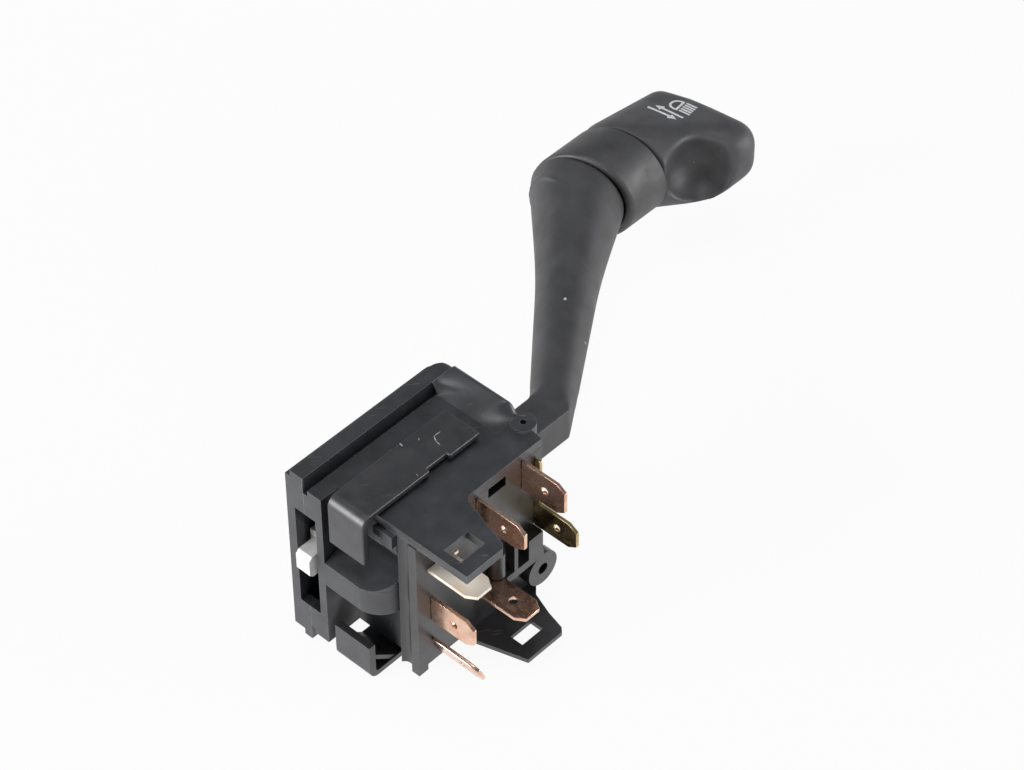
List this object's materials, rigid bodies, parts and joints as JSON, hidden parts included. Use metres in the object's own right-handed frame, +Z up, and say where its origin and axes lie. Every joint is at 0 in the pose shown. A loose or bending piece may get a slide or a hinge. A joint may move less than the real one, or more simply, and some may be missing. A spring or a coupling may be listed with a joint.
{
  "type": "combination stalk switch",
  "caption": "Steering-column stalk switch: black housing with blade terminals and latches, a bent lever that swings and pulls, a turning light knob and a sprung cancelling pawl.",
  "frame": {"origin": "centre of the front cover's flat outer face, in the plane the lever lies in at rest", "axes": "+X runs out along the lever to the knob, +Y faces the driver (out of the front face, away from the terminals), +Z is up, square to the lever's plane"},
  "size_m": [0.1522, 0.0801, 0.045],
  "materials": {
    "body_black": "satin moulded",
    "carrier_black": "satin moulded",
    "latch_black": "satin moulded",
    "lever_black": "fine matt grain",
    "knob_black": "fine matt grain",
    "pawl_white": "natural acetal",
    "yoke_plastic": "natural acetal",
    "slider_plastic": "natural nylon",
    "terminal_copper": "bare copper alloy sheet",
    "terminal_brass": "bare brass sheet",
    "steel": "ground",
    "spring_steel": "drawn wire or sheet",
    "contact_board": "phenolic board",
    "lead_red": "insulated wire"
  },
  "bodies": {
    "housing": {"front_cover": "body_black", "base_housing": "body_black", "contact_carrier": "carrier_black", "detent_cam": "slider_plastic", "terminal_1": "terminal_copper", "terminal_2": "terminal_brass", "terminal_3": "terminal_brass", "terminal_4": "terminal_copper", "terminal_5": "terminal_copper", "terminal_6": "terminal_copper", "terminal_7": "terminal_copper", "terminal_8": "terminal_copper", "dip_spring": "spring_steel"},
    "top_latch": {"top_latch": "latch_black"},
    "bottom_latch": {"bottom_latch": "latch_black"},
    "yoke": {"yoke": "yoke_plastic", "hinge_pin": "steel", "pawl_spring": "spring_steel", "turn_spring": "spring_steel"},
    "lever": {"lever_arm": "lever_black", "grip_sleeve": "lever_black", "light_contacts": "contact_board", "light_leads": "lead_red"},
    "knob": {"knob_shell": "knob_black", "knob_axle": "knob_black", "knob_clip": "spring_steel", "light_wiper": "terminal_brass"},
    "pawl": {"pawl": "pawl_white"},
    "turn_plunger": {"turn_plunger": "steel"},
    "turn_slider": {"turn_slider": "slider_plastic", "turn_wiper": "terminal_brass"},
    "dip_slider": {"dip_slider": "slider_plastic", "dip_wiper": "terminal_brass"}
  },
  "joints": [
    {"name": "turn_signal", "type": "hinge", "parent": "housing", "child": "yoke", "pos_m": [0.008, -0.0127, 0], "axis": [0, 1, 0], "range_deg": [-14, 14]},
    {"name": "dip_flash", "type": "hinge", "parent": "yoke", "child": "lever", "pos_m": [0.008, -0.0127, 0], "axis": [0, 0, 1], "range_deg": [0, 8], "stiffness_Nm_per_rad": 2, "springref_deg": -3.44},
    {"name": "light_knob", "type": "hinge", "parent": "lever", "child": "knob", "pos_m": [0.10417, 0.02651, 0], "axis": [0.9703, 0.2419, 0], "range_deg": [0, 60]},
    {"name": "pawl_slide", "type": "slide", "parent": "yoke", "child": "pawl", "axis": [1, 0, 0], "range_m": [0, 0.0025], "stiffness_N_per_m": 400, "springref_m": -0.003, "deforming": ["pawl_spring"]},
    {"name": "plunger_slide", "type": "slide", "parent": "yoke", "child": "turn_plunger", "axis": [1, 0, 0], "range_m": [0, 0.0012], "stiffness_N_per_m": 1000, "springref_m": -0.001, "deforming": ["turn_spring"]},
    {"name": "turn_contact_slide", "type": "slide", "parent": "housing", "child": "turn_slider", "axis": [0, 0, 1], "range_m": [-0.00162, 0.00162]},
    {"name": "dip_contact_slide", "type": "slide", "parent": "housing", "child": "dip_slider", "axis": [0, -1, 0], "range_m": [0, 0.00118], "deforming": ["dip_spring"]},
    {"name": "top_latch_flex", "type": "hinge", "parent": "housing", "child": "top_latch", "pos_m": [-0.006, -0.0157, 0.0206], "axis": [0, 1, 0], "range_deg": [-2, 0], "stiffness_Nm_per_rad": 2},
    {"name": "bottom_latch_flex", "type": "hinge", "parent": "housing", "child": "bottom_latch", "pos_m": [-0.006, -0.016, -0.0211], "axis": [0, 1, 0], "range_deg": [0, 2], "stiffness_Nm_per_rad": 2}
  ],
  "couplings": [
    {"joint": "turn_contact_slide", "follows": "turn_signal", "m_per_rad": -0.0065},
    {"joint": "dip_contact_slide", "follows": "dip_flash", "m_per_rad": 0.0082}
  ]
}
